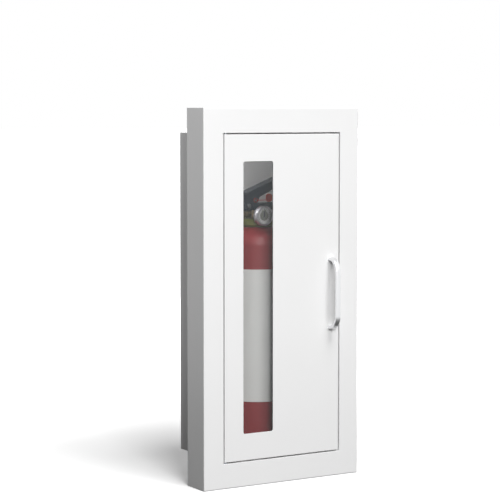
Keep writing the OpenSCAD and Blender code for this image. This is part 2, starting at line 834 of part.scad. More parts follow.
tub_back();
tub_left_wall();
tub_right_wall();
tub_top_wall();
tub_bottom_wall();
trim_top();
trim_bottom();
trim_left();
trim_right();
pivot_plate_top();
pivot_plate_bottom();
thrust_washer();
roller_catch();
catch_rollers();
door_bumpers();
extinguisher_shell();
foot_ring();
label_band();
neck_collar();
valve_body();
outlet_port();
carry_handle();
lever();
lever_rivet();
pull_pin();
tamper_seal();
gauge_case();
gauge_dial();
gauge_lens();
door_panel();
pivot_block_top();
pivot_block_bottom();
glazing_gasket();
window_pane();
glazing_retainer();
retainer_studs();
pull_handle();
handle_screws();
catch_strike();
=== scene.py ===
# %% [markdown]
# A semi-recessed fire extinguisher cabinet, dressed for a studio picture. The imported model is
# loaded first. It is the frame: it says where each piece is and how large it is, in metres, and
# nothing below moves or resizes it. This script then gives each piece its finish, and puts
# smoother surfaces in place of the pieces whose look depends on small bends and round edges.

# %% Load the frame
import json
import math

import bmesh
import bpy
import numpy as np
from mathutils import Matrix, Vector


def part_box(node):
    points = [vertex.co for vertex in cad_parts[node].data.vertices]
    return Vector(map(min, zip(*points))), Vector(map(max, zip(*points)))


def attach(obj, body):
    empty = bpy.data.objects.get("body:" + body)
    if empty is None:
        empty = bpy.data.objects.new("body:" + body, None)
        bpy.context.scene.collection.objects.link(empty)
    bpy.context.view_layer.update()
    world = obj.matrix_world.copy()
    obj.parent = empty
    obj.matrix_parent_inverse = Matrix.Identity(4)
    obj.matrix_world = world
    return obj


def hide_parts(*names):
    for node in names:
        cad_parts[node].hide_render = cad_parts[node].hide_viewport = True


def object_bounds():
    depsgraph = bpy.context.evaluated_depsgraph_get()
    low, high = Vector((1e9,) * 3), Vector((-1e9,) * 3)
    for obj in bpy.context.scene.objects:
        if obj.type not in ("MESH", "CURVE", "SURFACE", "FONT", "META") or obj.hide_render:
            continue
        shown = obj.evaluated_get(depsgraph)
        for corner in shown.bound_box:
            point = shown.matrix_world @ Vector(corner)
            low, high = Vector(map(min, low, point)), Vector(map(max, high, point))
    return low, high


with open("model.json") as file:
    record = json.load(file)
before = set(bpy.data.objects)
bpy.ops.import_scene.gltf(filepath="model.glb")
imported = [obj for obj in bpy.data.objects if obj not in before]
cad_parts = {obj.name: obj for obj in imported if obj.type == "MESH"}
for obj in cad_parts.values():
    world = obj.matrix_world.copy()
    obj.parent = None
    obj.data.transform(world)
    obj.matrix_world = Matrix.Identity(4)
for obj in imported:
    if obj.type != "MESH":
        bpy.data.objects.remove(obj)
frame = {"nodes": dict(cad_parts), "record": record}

cad_box = [list(corner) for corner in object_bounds()]
MM = 0.001
scene = bpy.context.scene
scene.view_settings.view_transform = "Standard"
print("cabinet box, mm:", np.round(np.array(cad_box) / MM, 1).tolist())

# %% [markdown]
# The camera stands to the left of the cabinet and looks at it from about the height of its top.
# A long lens keeps the upright edges nearly parallel. The place, the turn and the lens were
# found by fitting a camera to the corners of the trim, the door, the window and the tub. A
# small shift does part of the tilt's work, and the rest is a gentle tilt downwards.

# %% Camera
CAMERA_AT = (-1.7512, -2.9654, 0.3484)
CAMERA_TURN = 0.5415
CAMERA_TILT = 0.0648
CAMERA_SHIFT = -0.05
CAMERA_REACH = 100.0
FOCAL_PIXELS = 1750.7
FRAME_PIXELS = 500
SENSOR = 36.0


def aimed(direction):
    """The turn that points -Z, the side that a camera or a lamp looks out of, in a direction."""
    return Vector(direction).to_track_quat("-Z", "Y").to_euler()


camera_data = bpy.data.cameras.new("studio_camera")
camera_data.sensor_width = SENSOR
camera_data.lens = FOCAL_PIXELS * SENSOR / FRAME_PIXELS
camera_data.shift_y = CAMERA_SHIFT
camera_data.clip_end = CAMERA_REACH
camera = bpy.data.objects.new("studio_camera", camera_data)
scene.collection.objects.link(camera)
camera.location = CAMERA_AT
camera.rotation_euler = aimed((math.sin(CAMERA_TURN) * math.cos(CAMERA_TILT),
                               math.cos(CAMERA_TURN) * math.cos(CAMERA_TILT),
                               -math.sin(CAMERA_TILT)))
scene.camera = camera
print("lens:", round(camera_data.lens, 1), "mm")

# %% [markdown]
# Two small helpers come before any material. The first turns an sRGB hex colour, as a paint
# chart gives it, into the linear values that the renderer works in. The second adds one shader
# node. Its inputs are plain values or sockets to link, so that a material reads as a short list.

# %% Colour and node helpers
def linear(hex_colour):
    """Linear RGBA of an sRGB hex colour: each channel goes through the inverse sRGB curve."""
    channels = np.array([int(hex_colour[i:i + 2], 16) for i in (1, 3, 5)]) / 255.0
    low = channels / 12.92
    high = ((channels + 0.055) / 1.055) ** 2.4
    return (*np.where(channels <= 0.04045, low, high).tolist(), 1.0)


def add_node(tree, kind, inputs=None, **settings):
    """Adds one node of a kind, with its settings, and its inputs as values or linked sockets."""
    made = tree.nodes.new(kind)
    for key, value in settings.items():
        setattr(made, key, value)
    for key, value in (inputs or {}).items():
        if isinstance(value, bpy.types.NodeSocket):
            tree.links.new(value, made.inputs[key])
        else:
            made.inputs[key].default_value = value
    return made


print("mid grey #808080 is", round(linear("#808080")[0], 3), "in linear light")

# %% [markdown]
# No real finish is one flat colour. Its tone wanders, its gloss may wander with the tone, and
# its skin has a fine relief. All of this comes from noise that is read in the piece's own
# metres, so the size of its lumps can be given in millimetres and stays put when a piece moves.
# One function builds every finish from such numbers, and the cells after it say only what is
# special about each. A number that is the same all over goes straight to the shader.

# %% One way to build a finish
FINISH = {}


def new_finish(name, tones, lumps=None, gloss=None, relief=None, stretch=None, slot=None,
               **surface):
    """A Principled material, kept under its slot. A noise, given by lumps as (mm across,
    detail), mixes the two tones, and the two roughnesses of gloss. A second noise, given by
    relief as (mm across, detail, strength, mm deep), bumps the surface. Stretch multiplies the
    coordinates that both read. What is left goes to the shader's sockets by name."""
    made = bpy.data.materials.new(name)
    made.use_nodes = True
    tree = made.node_tree
    tree.nodes.clear()
    place = add_node(tree, "ShaderNodeTexCoord").outputs["Object"]
    if stretch:
        mapping = add_node(tree, "ShaderNodeMapping", {"Vector": place, "Scale": stretch})
        place = mapping.outputs["Vector"]
    noises = [add_node(tree, "ShaderNodeTexNoise",
                       {"Vector": place, "Scale": 1.0 / (pattern[0] * MM), "Detail": pattern[1]})
              if pattern else None for pattern in (lumps, relief)]
    inputs = {key.replace("_", " "): value for key, value in surface.items()}
    inputs["Base Color"] = linear(tones[0])
    if lumps:
        amount = noises[0].outputs["Fac"]
        mixed = add_node(tree, "ShaderNodeMix",
                         {0: amount, 6: linear(tones[0]), 7: linear(tones[1])}, data_type="RGBA")
        inputs["Base Color"] = mixed.outputs[2]
    if gloss:
        rough = add_node(tree, "ShaderNodeMapRange",
                         {"Value": amount, "To Min": gloss[0], "To Max": gloss[1]})
        inputs["Roughness"] = rough.outputs["Result"]
    if relief:
        bump = add_node(tree, "ShaderNodeBump",
                        {"Height": noises[1].outputs["Fac"], "Strength": relief[2],
                         "Distance": relief[3] * MM})
        inputs["Normal"] = bump.outputs["Normal"]
    shader = add_node(tree, "ShaderNodeBsdfPrincipled", inputs)
    add_node(tree, "ShaderNodeOutputMaterial", {"Surface": shader.outputs[0]})
    FINISH[slot or name] = made
    print(name, "has", len(tree.nodes), "nodes")


# %% [markdown]
# The cabinet is mild steel sheet with a baked powder coat. Powder melts and flows but keeps a
# faint orange peel, about two millimetres from crest to crest, so its gloss is soft and broad.
# The tone wanders very slightly over a hand's width, as on any sprayed panel.

# %% Powder-coated steel
new_finish("powder_coated_steel", ("#F3F3F3", "#EFEFEF"), lumps=(160.0, 2.0),
           relief=(2.2, 3.0, 0.18, 0.05), slot="white_powder_coat", Roughness=0.38, IOR=1.5)

# %% [markdown]
# The pull is aluminium bar, bent, brushed along its length and clear anodised. Brushing leaves
# fine lines that run up the bar. The eye sees them as a highlight that is drawn out across the
# bar, so the noise is left fine across it and stretched along it. Real lines are finer than the
# half millimetre used here, which is as coarse as they need to be to show.

# %% Satin anodised aluminium
new_finish("satin_anodised_aluminium", ("#F1F1F2", "#DFE0E2"), lumps=(0.5, 2.0),
           gloss=(0.24, 0.4), relief=(0.5, 2.0, 0.12, 0.02), stretch=(1.0, 1.0, 0.03),
           slot="satin_aluminium", Metallic=1.0)

# %% [markdown]
# The fittings inside the door are bright zinc plate on steel. Zinc crystals give it a faint
# patchy tone, a few millimetres across. The same patches are a little more or less polished, so
# one noise drives both the tone and the gloss.

# %% Zinc-plated steel
new_finish("zinc_plated_steel", ("#C9CDD2", "#A9ADB4"), lumps=(4.0, 4.0), gloss=(0.28, 0.45),
           Metallic=1.0)

# %% [markdown]
# The cylinder is steel under enamel, and so are the lever and the handle. A thin clear coat over
# the colour gives the sharp part of the highlight, and a very fine waviness keeps that highlight
# from looking like glass.

# %% Enamel
ENAMELS = {
    "red_enamel": ("#931C23", "#87171E", 0.5),
    "black_enamel": ("#1E2633", "#181E2A", 0.45),
}
for name, (first, second, roughness) in ENAMELS.items():
    new_finish(name, (first, second), lumps=(60.0, 2.0), relief=(3.5, 3.0, 0.1, 0.04),
               Roughness=roughness, Coat_Weight=0.2, Coat_Roughness=0.12)

# %% [markdown]
# The label is satin vinyl with nothing printed on it. Vinyl that is rubbed down by hand keeps
# shallow ripples, one to two centimetres apart, which bend the highlight a little.

# %% Satin vinyl
new_finish("satin_vinyl", ("#EFEFED", "#E6E6E3"), lumps=(40.0, 3.0),
           relief=(14.0, 2.0, 0.15, 0.3), slot="label_vinyl", Roughness=0.45, Coat_Weight=0.15)

# %% [markdown]
# Moulded plastics and rubbers differ mostly in colour and gloss. Their skin copies the spark
# eroded steel of the mould, whose grain takes the edge off every highlight. The real grain is
# about a tenth of a millimetre, and it is drawn at 0.6 mm so that it shows.

# %% Moulded plastic and rubber
MOULDED = {
    "collar_plastic": ("#7A7F38", "#696E2E", 0.5),
    "roller_nylon": ("#DAD7CB", "#CFCBBD", 0.45),
    "bumper_rubber": ("#26262A", "#1D1D20", 0.7),
    "glazing_rubber": ("#2B2B2E", "#222225", 0.65),
    "seal_plastic": ("#C8402F", "#B63527", 0.35),
    "dial_face": ("#8E8D80", "#84837A", 0.5),
}
for name, (first, second, roughness) in MOULDED.items():
    new_finish(name, (first, second), lumps=(9.0, 3.0), relief=(0.6, 3.0, 0.2, 0.05),
               Roughness=roughness)

# %% [markdown]
# The valve is forged brass, tumbled and left bare, so it has dulled to a brownish tone. Its
# tone is uneven over a few millimetres, and so is its gloss.

# %% Dull forged brass
new_finish("forged_brass", ("#B9A88C", "#8E7F68"), lumps=(5.0, 4.0), gloss=(0.3, 0.5),
           relief=(1.2, 3.0, 0.15, 0.05), slot="valve_brass", Metallic=1.0)

# %% [markdown]
# The gauge's case is plated and polished, and the rivet and the pin are drawn steel. Both are
# nearly even in tone. A slight unevenness breaks their reflections up, as on worn metal.

# %% Bright metals
BRIGHT_METALS = {
    "bright_steel": ("#D6D8DB", "#BEC0C4", 0.25),
    "gauge_chrome": ("#EBEAEF", "#DFDEE5", 0.34),
}
for name, (first, second, roughness) in BRIGHT_METALS.items():
    new_finish(name, (first, second), lumps=(3.0, 3.0), relief=(0.8, 3.0, 0.06, 0.02),
               Metallic=1.0, Roughness=roughness)

# %% [markdown]
# The pane is clear acrylic, three millimetres thick. What the eye sees of it is a faint grey
# veil and a gloss that grows towards grazing angles. Light has to reach the cylinder behind it,
# so the pane is a mostly see-through surface with gloss, and not a block that bends light. The
# gauge's lens is made the same way.

# %% Clear acrylic and gauge glass
CLEAR_SHEETS = {
    "clear_acrylic": ("#7C8080", 0.12, 0.05),
    "gauge_glass": ("#B4B8BA", 0.10, 0.03),
}
for name, (veil, opacity, roughness) in CLEAR_SHEETS.items():
    new_finish(name, (veil,), relief=(30.0, 1.0, 0.04, 0.2), Roughness=roughness, IOR=1.49,
               Alpha=opacity)

# %% [markdown]
# The frame's record says which slot each piece of the model has, and on which body it rides. The
# two tables below are read from it, so that each piece gets the finish that its record names.
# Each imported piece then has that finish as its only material.

# %% Finishes on the frame
SLOT_OF = {part["node"]: part["material_slot"] for part in frame["record"]["subparts"]}
BODY_OF = {node: body for body, members in frame["record"]["behaviour"]["bodies"].items()
           for node in members}
for node_name, node_object in frame["nodes"].items():
    node_object.data.materials.clear()
    node_object.data.materials.append(FINISH[SLOT_OF[node_name]])
print("finishes:", len(FINISH), "on", len(SLOT_OF), "nodes")

# %% [markdown]
# New surfaces are grids: rows of points, where each row is a closed loop or an open line. Such a
# grid could be drawn by hand, but numbers keep it exact. The helpers below number the quads of a
# grid, and the triangles that close a loop at its middle.

# %% Faces on a grid of points
def grid_faces(rows, cols, wrap_rows=False, wrap_cols=True):
    """Quads between neighbouring rows and columns; a wrapped direction joins its two ends."""
    i = np.arange(rows if wrap_rows else rows - 1)
    j = np.arange(cols if wrap_cols else cols - 1)
    i, j = np.meshgrid(i, j, indexing="ij")
    i2, j2 = (i + 1) % rows, (j + 1) % cols
    corners = (i * cols + j, i * cols + j2, i2 * cols + j2, i2 * cols + j)
    return np.stack(corners, axis=-1).reshape(-1, 4)


def cap_fan(first, count, centre, flip=False):
    """Triangles from a loop of count points, starting at first, to a centre point."""
    j = np.arange(count)
    a, b = first + j, first + (j + 1) % count
    mid = np.full(count, centre)
    return np.stack((b, a, mid) if flip else (a, b, mid), axis=-1)


print("quads on 3 loops of 8 points:", len(grid_faces(3, 8)))

# %% [markdown]
# A piece needs more than its faces. It is shaded smooth, but an edge that turns by more than
# about a third of a right angle stays crisp. Large faces keep their own direction in the
# shading, so that a flat panel looks flat right up to its rounded edge. The piece then rides on
# a body of the model, has one of its slots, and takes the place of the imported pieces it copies.

# %% Shading, finish and body of a piece
SHARP_ANGLE = 34.0


def finish_piece(mesh, nodes, sharp=SHARP_ANGLE, detail_slot=None):
    """Turns a mesh's faces outwards, shades it smooth up to the sharp angle in degrees, and
    gives it the body and the slot of the first node, and the place of all the nodes. A detail
    with a slot of its own stands for nothing."""
    slot_name = detail_slot or SLOT_OF[nodes[0]]
    work = bmesh.new()
    work.from_mesh(mesh)
    bmesh.ops.recalc_face_normals(work, faces=work.faces)
    work.to_mesh(mesh)
    work.free()
    mesh.validate()
    mesh.polygons.foreach_set("use_smooth", np.ones(len(mesh.polygons), dtype=bool))
    mesh.set_sharp_from_angle(angle=math.radians(sharp))
    mesh.materials.append(FINISH[slot_name])
    piece = bpy.data.objects.new(mesh.name, mesh)
    scene.collection.objects.link(piece)
    weigh = piece.modifiers.new("weigh_normals", "WEIGHTED_NORMAL")
    weigh.keep_sharp = True
    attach(piece, BODY_OF[nodes[0]])
    if detail_slot is None:
        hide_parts(*nodes)
    return piece


print("edges stay crisp above", SHARP_ANGLE, "degrees")

# %% [markdown]
# A surface is made from a list of points and lists of faces that count into it. Most pieces
# stand for pieces of the model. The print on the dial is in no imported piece, so such a detail is
# added beside a node and replaces nothing.

# %% From points and faces to a piece
def mesh_of(name, points, face_lists):
    """A mesh from points and lists of faces."""
    faces = [face for group in face_lists for face in np.asarray(group).tolist()]
    mesh = bpy.data.meshes.new(name)
    mesh.from_pydata(np.asarray(points, dtype=float).reshape(-1, 3).tolist(), [], faces)
    print(name, len(mesh.vertices), "points,", len(mesh.polygons), "faces")
    return mesh


def make_piece(name, points, face_lists, stands_for, sharp=SHARP_ANGLE):
    """A mesh from points and faces that takes the place, body and slot of CAD nodes."""
    nodes = [stands_for] if isinstance(stands_for, str) else list(stands_for)
    return finish_piece(mesh_of(name, points, face_lists), nodes, sharp)


def add_piece(name, points, face_lists, beside, slot_name):
    """A small detail that the frame doesn't have, on the body of the node it sits on."""
    return finish_piece(mesh_of(name, points, face_lists), [beside], detail_slot=slot_name)


# %% [markdown]
# No real edge is perfectly sharp: sheet is deburred, castings are tumbled and screws are turned
# with a small chamfer. A narrow rounded edge catches a thin line of light, and that line is what
# tells the eye that a piece is solid metal. Most small fittings have the right form in the
# frame, so each one is copied and its sharp edges are rounded by a fraction of a millimetre.

# %% Rounded edges for the small fittings
MERGE_GAP = 0.002 * MM
FLAT_ANGLE = 0.4
EDGE_STEPS = 2


def softened(node, edge_mm):
    """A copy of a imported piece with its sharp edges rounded. Triangles that lie in one plane are
    first merged to whole faces, so that only real edges are left to round."""
    source = frame["nodes"][node]
    work = bmesh.new()
    work.from_mesh(source.data)
    work.transform(source.matrix_world)
    bmesh.ops.remove_doubles(work, verts=work.verts, dist=MERGE_GAP)
    bmesh.ops.dissolve_limit(work, angle_limit=math.radians(FLAT_ANGLE), verts=work.verts,
                             edges=work.edges)
    edges = [edge for edge in work.edges
             if edge.is_manifold and edge.calc_face_angle() > math.radians(SHARP_ANGLE)]
    bmesh.ops.bevel(work, geom=edges, offset=edge_mm * MM, offset_type="OFFSET",
                    segments=EDGE_STEPS, profile=0.5, affect="EDGES", clamp_overlap=True)
    mesh = bpy.data.meshes.new(node + "_soft")
    work.to_mesh(mesh)
    work.free()
    return finish_piece(mesh, [node])


print("each edge is rounded in", EDGE_STEPS, "steps")

# %% [markdown]
# The table gives the width of the rounded edge in millimetres. Cut and folded sheet keeps a
# narrow edge. Forged, turned and moulded pieces have a wider one.

# %% Small fittings
SOFT_EDGES = {
    "tub_back": 0.3, "tub_left_wall": 0.3, "tub_right_wall": 0.3, "tub_top_wall": 0.3,
    "tub_bottom_wall": 0.3, "pivot_plate_top": 0.4, "pivot_plate_bottom": 0.4,
    "thrust_washer": 0.25, "roller_catch": 0.5, "catch_rollers": 0.7, "catch_strike": 0.4,
    "door_bumpers": 0.9, "pivot_block_top": 0.5, "pivot_block_bottom": 0.5,
    "glazing_gasket": 0.2, "window_pane": 0.25, "glazing_retainer": 0.3,
    "retainer_studs": 0.35, "handle_screws": 0.5, "foot_ring": 1.2, "valve_body": 0.6,
    "carry_handle": 0.5, "lever": 0.5, "lever_rivet": 0.6,
    "pull_pin": 0.3, "gauge_lens": 0.25,
}
for node_name, edge_size in SOFT_EDGES.items():
    softened(node_name, edge_size)
print("rounded edges on", len(SOFT_EDGES), "nodes")

# %% [markdown]
# Folded sheet is drawn in two steps. First comes the section that the sheet is folded to, as
# points of (distance outwards, depth), with an arc at each bend. Then the section is carried
# round the opening: each of its points becomes one rounded rectangle, larger or smaller by its
# distance, and the rectangles are joined in order.

# %% Arcs and rounded rectangles
CORNER_STEPS = 6


def arc(centre, radius, start, end, steps=5):
    """Points of an outline on an arc: centre + radius (cos t, sin t), where t runs from start
    to end in degrees."""
    turn = np.radians(np.linspace(start, end, steps))
    return np.stack((centre[0] + radius * np.cos(turn), centre[1] + radius * np.sin(turn)), 1)


def rect_loop(half_w, half_h, corner, y, x=0.0, z=0.0, steps=CORNER_STEPS):
    """A rounded rectangle in X and Z at depth y: four quarter circles, joined by straights."""
    quarter = np.linspace(0.0, math.pi / 2, steps)
    turns = np.concatenate([quarter + k * math.pi / 2 for k in range(4)])
    sign_x = np.repeat([1, -1, -1, 1], steps)
    sign_z = np.repeat([1, 1, -1, -1], steps)
    points = np.zeros((4 * steps, 3))
    points[:, 0] = x + sign_x * (half_w - corner) + corner * np.cos(turns)
    points[:, 1] = y
    points[:, 2] = z + sign_z * (half_h - corner) + corner * np.sin(turns)
    return points


print("a rounded rectangle has", 4 * CORNER_STEPS, "points")

# %% [markdown]
# The trim is one strip of sheet, folded and carried round the opening, then welded and ground
# flush at its corners, so no mitre shows under the coat. It could be four mitred lengths, as in
# the frame, but only one closed loft has that unbroken face. Its outer size and depths are read
# from the frame. The sheet, its bends and its lips have the usual sizes for such work.

# %% Trim sizes
trim_low, trim_high = (np.array(p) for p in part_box("trim_left"))
half_w = -trim_low[0]
half_h = trim_high[2]
y_front, y_wall = trim_low[1], trim_high[1]
y_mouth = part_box("tub_left_wall")[0][1]
TRIM_SIDE_FACE = 42 * MM
TRIM_TOP_FACE = 47 * MM
TRIM_SHEET = 1.5 * MM
TRIM_BEND = 2.0 * MM
INNER_BEND = 0.6 * MM
STOP_REACH = 9 * MM
WALL_LIP = 10 * MM
HOLD = 0.8 * MM
OUTER_CORNER = 0.9 * MM
OPENING_CORNER = 0.5 * MM
BACK_CORNER = 0.4 * MM
opening_half_w = half_w - TRIM_SIDE_FACE
opening_half_h = half_h - TRIM_TOP_FACE
print("opening, mm:", np.round(np.array([opening_half_w, opening_half_h]) * 2 / MM, 1).tolist())

# %% [markdown]
# The section has three parts. The outer one comes from the lip on the wall round to the face,
# the inner one goes from the face into the opening, to the stop for the door, and the back one
# closes the sheet behind. The first and the last are measured from the outer edge, the middle
# one from the opening. An extra point, HOLD past each bend, keeps the flat face flat in its
# shading.

# %% Trim frame
outer_part = np.concatenate([
    [[-WALL_LIP, y_wall]],
    arc((-TRIM_BEND, y_wall - TRIM_BEND), TRIM_BEND, 90, 0),
    arc((-TRIM_BEND, y_front + TRIM_BEND), TRIM_BEND, 0, -90, 7),
    [[-TRIM_BEND - HOLD, y_front]]])
inner_part = np.concatenate([
    [[INNER_BEND + HOLD, y_front]],
    arc((INNER_BEND, y_front + INNER_BEND), INNER_BEND, -90, -180),
    [[0.0, y_mouth - TRIM_SHEET], [-STOP_REACH, y_mouth - TRIM_SHEET],
     [-STOP_REACH, y_mouth], [TRIM_SHEET, y_mouth], [TRIM_SHEET, y_front + TRIM_SHEET]]])
back_part = np.array([[-TRIM_SHEET, y_front + TRIM_SHEET], [-TRIM_SHEET, y_wall - TRIM_SHEET],
                      [-WALL_LIP, y_wall - TRIM_SHEET]])
trim_loops = [rect_loop(loop_w + d, loop_h + d, corner, y)
              for part, loop_w, loop_h, corner in (
                  (outer_part, half_w, half_h, OUTER_CORNER),
                  (inner_part, opening_half_w, opening_half_h, OPENING_CORNER),
                  (back_part, half_w, half_h, BACK_CORNER))
              for d, y in part]
make_piece("trim_frame", np.array(trim_loops),
           [grid_faces(len(trim_loops), 4 * CORNER_STEPS, wrap_rows=True)],
           ["trim_top", "trim_bottom", "trim_left", "trim_right"])

# %% [markdown]
# The door is the same kind of work: a pan, folded on its four sides, with a window punched
# through its skin. Its outline and the window's are read from the frame. The window is smaller
# than its pane, which reaches past it on all sides to be held from behind.

# %% Door sizes
door_low, door_high = (np.array(p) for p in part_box("door_panel"))
pane_low, pane_high = (np.array(p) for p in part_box("window_pane"))
PANE_REACH = 10 * MM
WINDOW_CORNER = 4 * MM
PUNCHED_EDGE = 0.35 * MM
DOOR_SHEET = 1.2 * MM
DOOR_BEND = 1.2 * MM
DOOR_LIP = 22 * MM
DOOR_CORNER = 0.7 * MM
door_half_w, door_half_h = door_high[0], door_high[2]
window_x = (pane_low[0] + pane_high[0]) / 2
window_half_w = (pane_high[0] - pane_low[0]) / 2 - PANE_REACH
window_half_h = pane_high[2] - PANE_REACH
door_back = door_high[1]
skin_back = y_front + DOOR_SHEET
print("window, mm:", np.round(np.array([window_half_w, window_half_h]) * 2 / MM, 1).tolist())

# %% [markdown]
# The loft starts at the window's punched edge, goes over the face and round the folds, and comes
# back to the window behind the skin. So the pan is one closed shell, like the real one.

# %% Door pan
window_part = np.concatenate([
    arc((PUNCHED_EDGE, y_front + PUNCHED_EDGE), PUNCHED_EDGE, 180, 270, 4),
    [[PUNCHED_EDGE + HOLD, y_front]]])
pan_part = np.concatenate([
    [[-DOOR_BEND - HOLD, y_front]],
    arc((-DOOR_BEND, y_front + DOOR_BEND), DOOR_BEND, -90, 0, 7),
    arc((-DOOR_BEND, door_back - DOOR_BEND), DOOR_BEND, 0, 90),
    [[-DOOR_LIP, door_back], [-DOOR_LIP, door_back - DOOR_SHEET],
     [-DOOR_SHEET, door_back - DOOR_SHEET], [-DOOR_SHEET, skin_back]]])
door_loops = (
    [rect_loop(window_half_w + d, window_half_h + d, WINDOW_CORNER + d, y, window_x)
     for d, y in window_part]
    + [rect_loop(door_half_w + d, door_half_h + d, DOOR_CORNER, y) for d, y in pan_part]
    + [rect_loop(window_half_w, window_half_h, WINDOW_CORNER, skin_back, window_x)])
make_piece("door_pan", np.array(door_loops)[::-1],
           [grid_faces(len(door_loops), 4 * CORNER_STEPS, wrap_rows=True)], "door_panel")

# %% [markdown]
# The pull is one bar bent to a D. Its section, a flat oval, is carried along a path of two
# short legs, two quarter bends and a straight grip. The path lies in one plane, so the
# section's wide side always lies along X, and only its thickness turns with the path.

# %% Path of the pull
pull_low, pull_high = (np.array(p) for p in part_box("pull_handle"))
PULL_THICK = 6.5 * MM
PULL_EDGE = 2.6 * MM
PULL_BEND = 26 * MM
PULL_STEPS = 14
pull_w = pull_high[0] - pull_low[0]
pull_x = (pull_high[0] + pull_low[0]) / 2
pull_out = pull_low[1]
pull_half = pull_high[2]


def pull_path():
    """Points (depth, height) along the bar's middle line, with its unit normals, which point
    outwards: a leg, a quarter circle, the grip, a quarter circle and a leg."""
    turn = np.linspace(0.0, math.pi / 2, PULL_STEPS)
    normal = np.stack((-np.sin(turn), np.cos(turn)), 1)
    centre = np.array([pull_out + PULL_BEND, pull_half - PULL_BEND])
    leg = np.array([[y_front, pull_half - PULL_THICK / 2]])
    points = np.concatenate([leg, centre + (PULL_BEND - PULL_THICK / 2) * normal])
    normals = np.concatenate([[[0.0, 1.0]], normal])
    flip = np.array([1.0, -1.0])
    return (np.concatenate([points, points[::-1] * flip]),
            np.concatenate([normals, normals[::-1] * flip]))


path, outward = pull_path()
print("the path has", len(path), "points")

# %% [markdown]
# Each point of the path carries one copy of the section: the across part is added along X, and
# the through part along the normal. A fan of triangles closes the bar at both feet, where it
# meets the door.

# %% Pull
oval = rect_loop(pull_w / 2, PULL_THICK / 2, PULL_EDGE, 0.0)
across, through = oval[:, 0], oval[:, 2]
pull_points = np.zeros((len(path), len(oval), 3))
pull_points[:, :, 0] = pull_x + across
pull_points[:, :, 1] = path[:, :1] + outward[:, :1] * through
pull_points[:, :, 2] = path[:, 1:] + outward[:, 1:] * through
leg_ends = np.array([[pull_x, *path[0]], [pull_x, *path[-1]]])
pull_count = len(path) * len(oval)
make_piece("door_pull", np.concatenate([pull_points.reshape(-1, 3), leg_ends]),
           [grid_faces(len(path), len(oval)), cap_fan(0, len(oval), pull_count, flip=True),
            cap_fan(pull_count - len(oval), len(oval), pull_count + 1)], "pull_handle")

# %% [markdown]
# Much of an extinguisher is turned or spun. One set of helpers makes all of these pieces: it
# carries an outline of (radius, distance along the axis) through a full circle. A closed outline
# gives a ring. An open one starts and ends near the axis, and a fan of triangles closes each
# end, because a row of points on the axis itself would give faces without area.

# %% Spinning an outline
NEAR_AXIS = 0.5 * MM
AXIS_FRAMES = {
    "x": np.array([[0, 1, 0], [0, 0, 1], [1, 0, 0]], dtype=float),
    "-y": np.array([[1, 0, 0], [0, 0, 1], [0, -1, 0]], dtype=float),
    "z": np.array([[1, 0, 0], [0, 1, 0], [0, 0, 1]], dtype=float),
}


def spin_points(outline, origin, axis, steps, start=0.0, sweep=360.0):
    """Points of an outline (r, s) spun about an axis: origin + r (side cos t + up sin t) + s
    along, where t runs from start through sweep in degrees."""
    outline = np.asarray(outline, dtype=float)
    full = sweep >= 360.0
    angle = np.radians(start + np.linspace(0.0, sweep, steps, endpoint=not full))
    side, up, along = AXIS_FRAMES[axis]
    circle = np.cos(angle)[:, None] * side + np.sin(angle)[:, None] * up
    return (np.asarray(origin) + outline[:, None, :1] * circle[None]
            + outline[:, None, 1:] * along)


print("axes to spin about:", ", ".join(AXIS_FRAMES))

# %% [markdown]
# Two functions turn spun points into whole forms, a ring or a closed solid. A third joins
# several forms to one piece, such as a threaded tube and the hexagon behind it.

# %% Rings, solids and joined forms
def spin_ring(outline, origin, axis, steps):
    """Points and faces of a closed outline that is spun to a ring."""
    points = spin_points(outline, origin, axis, steps)
    return points.reshape(-1, 3), [grid_faces(len(outline), steps, wrap_rows=True)]


def spin_solid(outline, origin, axis, steps):
    """Points and faces of an open outline that is spun and closed at the axis at both ends."""
    points = spin_points(outline, origin, axis, steps).reshape(-1, 3)
    along = AXIS_FRAMES[axis][2]
    ends = [np.asarray(origin) + along * outline[end][1] for end in (0, -1)]
    rows = len(outline)
    faces = [grid_faces(rows, steps), cap_fan(0, steps, rows * steps, flip=True),
             cap_fan((rows - 1) * steps, steps, rows * steps + 1)]
    return np.concatenate([points, ends]), faces


def joined(*parts):
    """Several (points, faces) pairs as one pair, with the faces renumbered."""
    points, faces = np.zeros((0, 3)), []
    for part_points, part_faces in parts:
        faces += [np.asarray(group) + len(points) for group in part_faces]
        points = np.concatenate([points, np.asarray(part_points).reshape(-1, 3)])
    return points, faces


# %% [markdown]
# The cylinder is drawn steel. Its outline has a rounded foot, a straight side, a knuckle and a
# shallow crown. The knuckle leaves the side upright, and the crown, which is centred on the
# axis below the top of the side, touches the knuckle and ends at the flat round the neck. How
# far below is found by trial: the crown's radius has to be the same by way of the knuckle and
# by way of the neck.

# %% Extinguisher cylinder
shell_low, shell_high = (np.array(p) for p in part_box("extinguisher_shell"))
FOOT_R = 8 * MM
KNUCKLE_R = 26 * MM
DOME_TOP_R = 27 * MM
DOME_H = 34 * MM
axis_x = (shell_low[0] + shell_high[0]) / 2
axis_y = (shell_low[1] + shell_high[1]) / 2
AXIS_FOOT = [axis_x, axis_y, 0.0]
shell_r = shell_high[0] - axis_x
neck_z = shell_high[2]
side_top = neck_z - DOME_H
knuckle_x = shell_r - KNUCKLE_R

